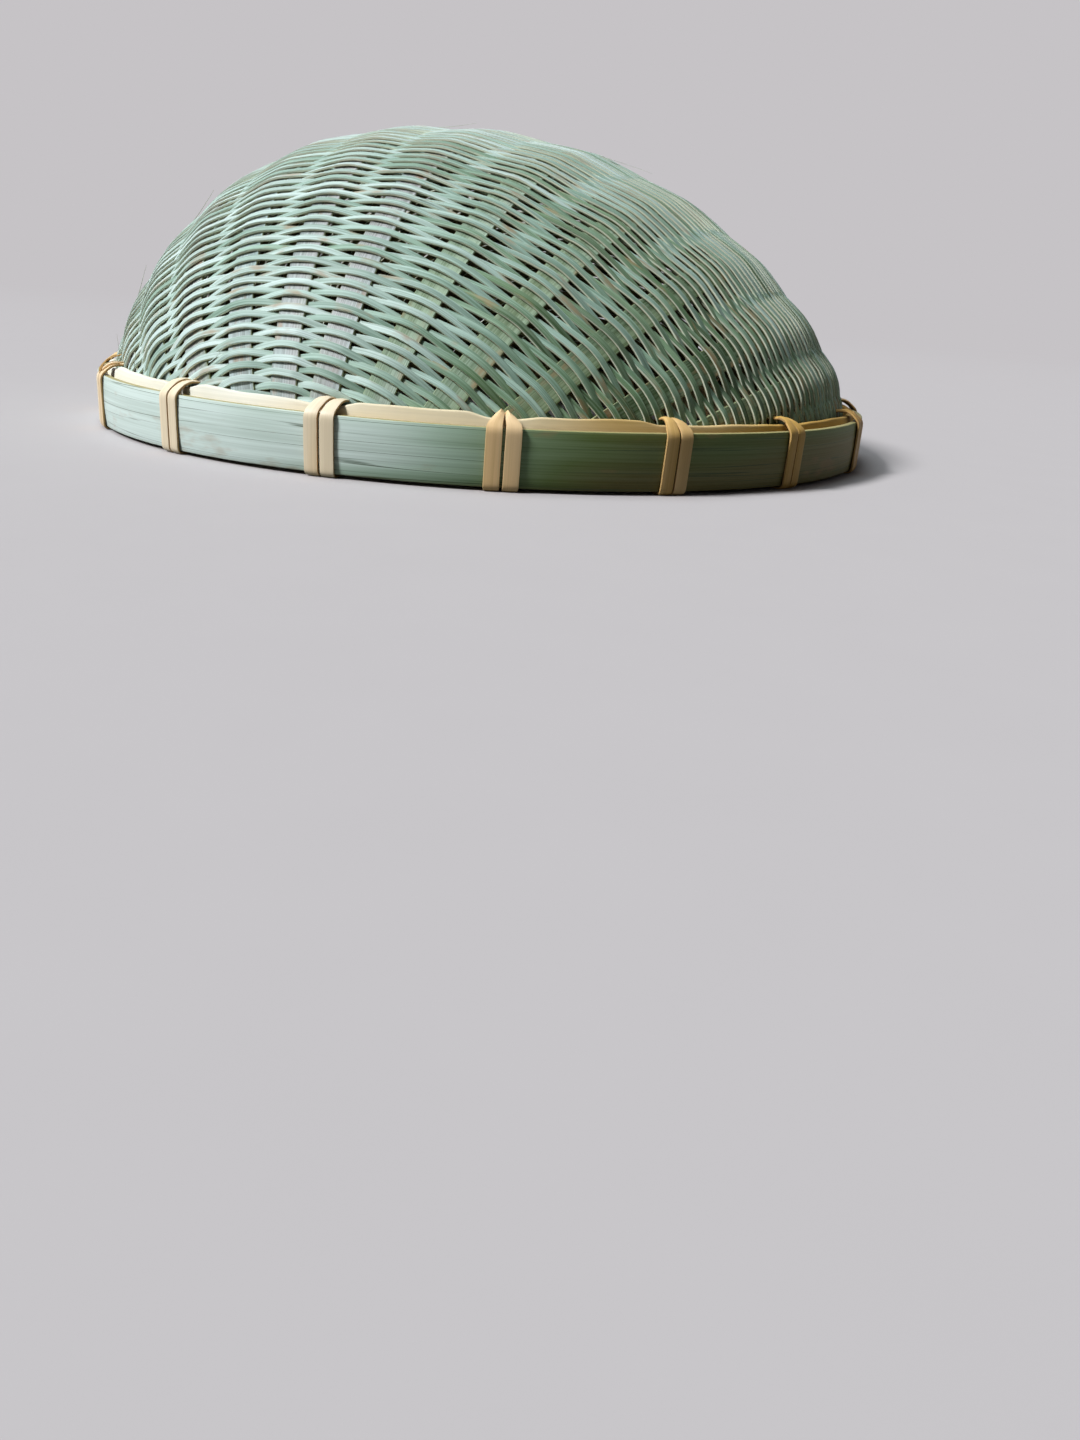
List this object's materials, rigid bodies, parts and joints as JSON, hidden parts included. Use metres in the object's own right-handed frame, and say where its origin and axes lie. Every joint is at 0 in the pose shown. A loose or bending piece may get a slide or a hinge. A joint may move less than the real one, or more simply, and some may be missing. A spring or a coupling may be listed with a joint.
{
  "type": "bamboo draining basket",
  "caption": "Round-bottomed bamboo draining basket, plain-woven from split strips, with a clamped double-hoop rim bound by split-bamboo lashings, lying mouth down.",
  "frame": {"origin": "on the surface that the lashings' undersides stand on, under the middle of the rim", "axes": "+Z from the rim up to the crown of the upturned bowl, +Y along the ribs away from the side pictured, +X along the wefts"},
  "size_m": [0.3217, 0.3215, 0.1166],
  "materials": {
    "outer_hoop": "green bamboo skin, faintly streaked lengthwise, satin",
    "filler_strip": "pale split bamboo, cut face, satin",
    "inner_hoop": "bamboo strip, satin",
    "rib": "split bamboo skin, grey-green to pinkish, satin",
    "weft": "narrow split bamboo, grey-green, satin",
    "lashing": "flexible split bamboo, cream to tan, satin"
  },
  "bodies": {
    "root": {"outer_hoop": "outer_hoop", "filler_strip": "filler_strip", "inner_hoop": "inner_hoop", "rib_01": "rib", "rib_02": "rib", "rib_03": "rib", "rib_04": "rib", "rib_05": "rib", "rib_06": "rib", "rib_07": "rib", "rib_08": "rib", "rib_09": "rib", "rib_10": "rib", "rib_11": "rib", "rib_12": "rib", "weft_band_01": "weft", "weft_band_02": "weft", "weft_band_03": "weft", "weft_band_04": "weft", "weft_band_05": "weft", "weft_band_06": "weft", "weft_band_07": "weft", "weft_band_08": "weft", "weft_band_09": "weft", "weft_band_10": "weft", "weft_band_11": "weft", "weft_band_12": "weft", "weft_band_13": "weft", "weft_band_14": "weft", "weft_band_15": "weft", "weft_band_16": "weft", "weft_band_17": "weft", "weft_band_18": "weft", "weft_band_19": "weft", "weft_band_20": "weft", "weft_band_21": "weft", "weft_band_22": "weft", "weft_band_23": "weft", "weft_band_24": "weft", "weft_band_25": "weft", "lashing_01": "lashing", "lashing_02": "lashing", "lashing_03": "lashing", "lashing_04": "lashing", "lashing_05": "lashing", "lashing_06": "lashing", "lashing_07": "lashing", "lashing_08": "lashing", "lashing_09": "lashing", "lashing_10": "lashing", "lashing_11": "lashing", "lashing_12": "lashing", "lashing_13": "lashing", "lashing_14": "lashing", "lashing_15": "lashing", "lashing_16": "lashing", "lashing_17": "lashing"}
  },
  "joints": []
}
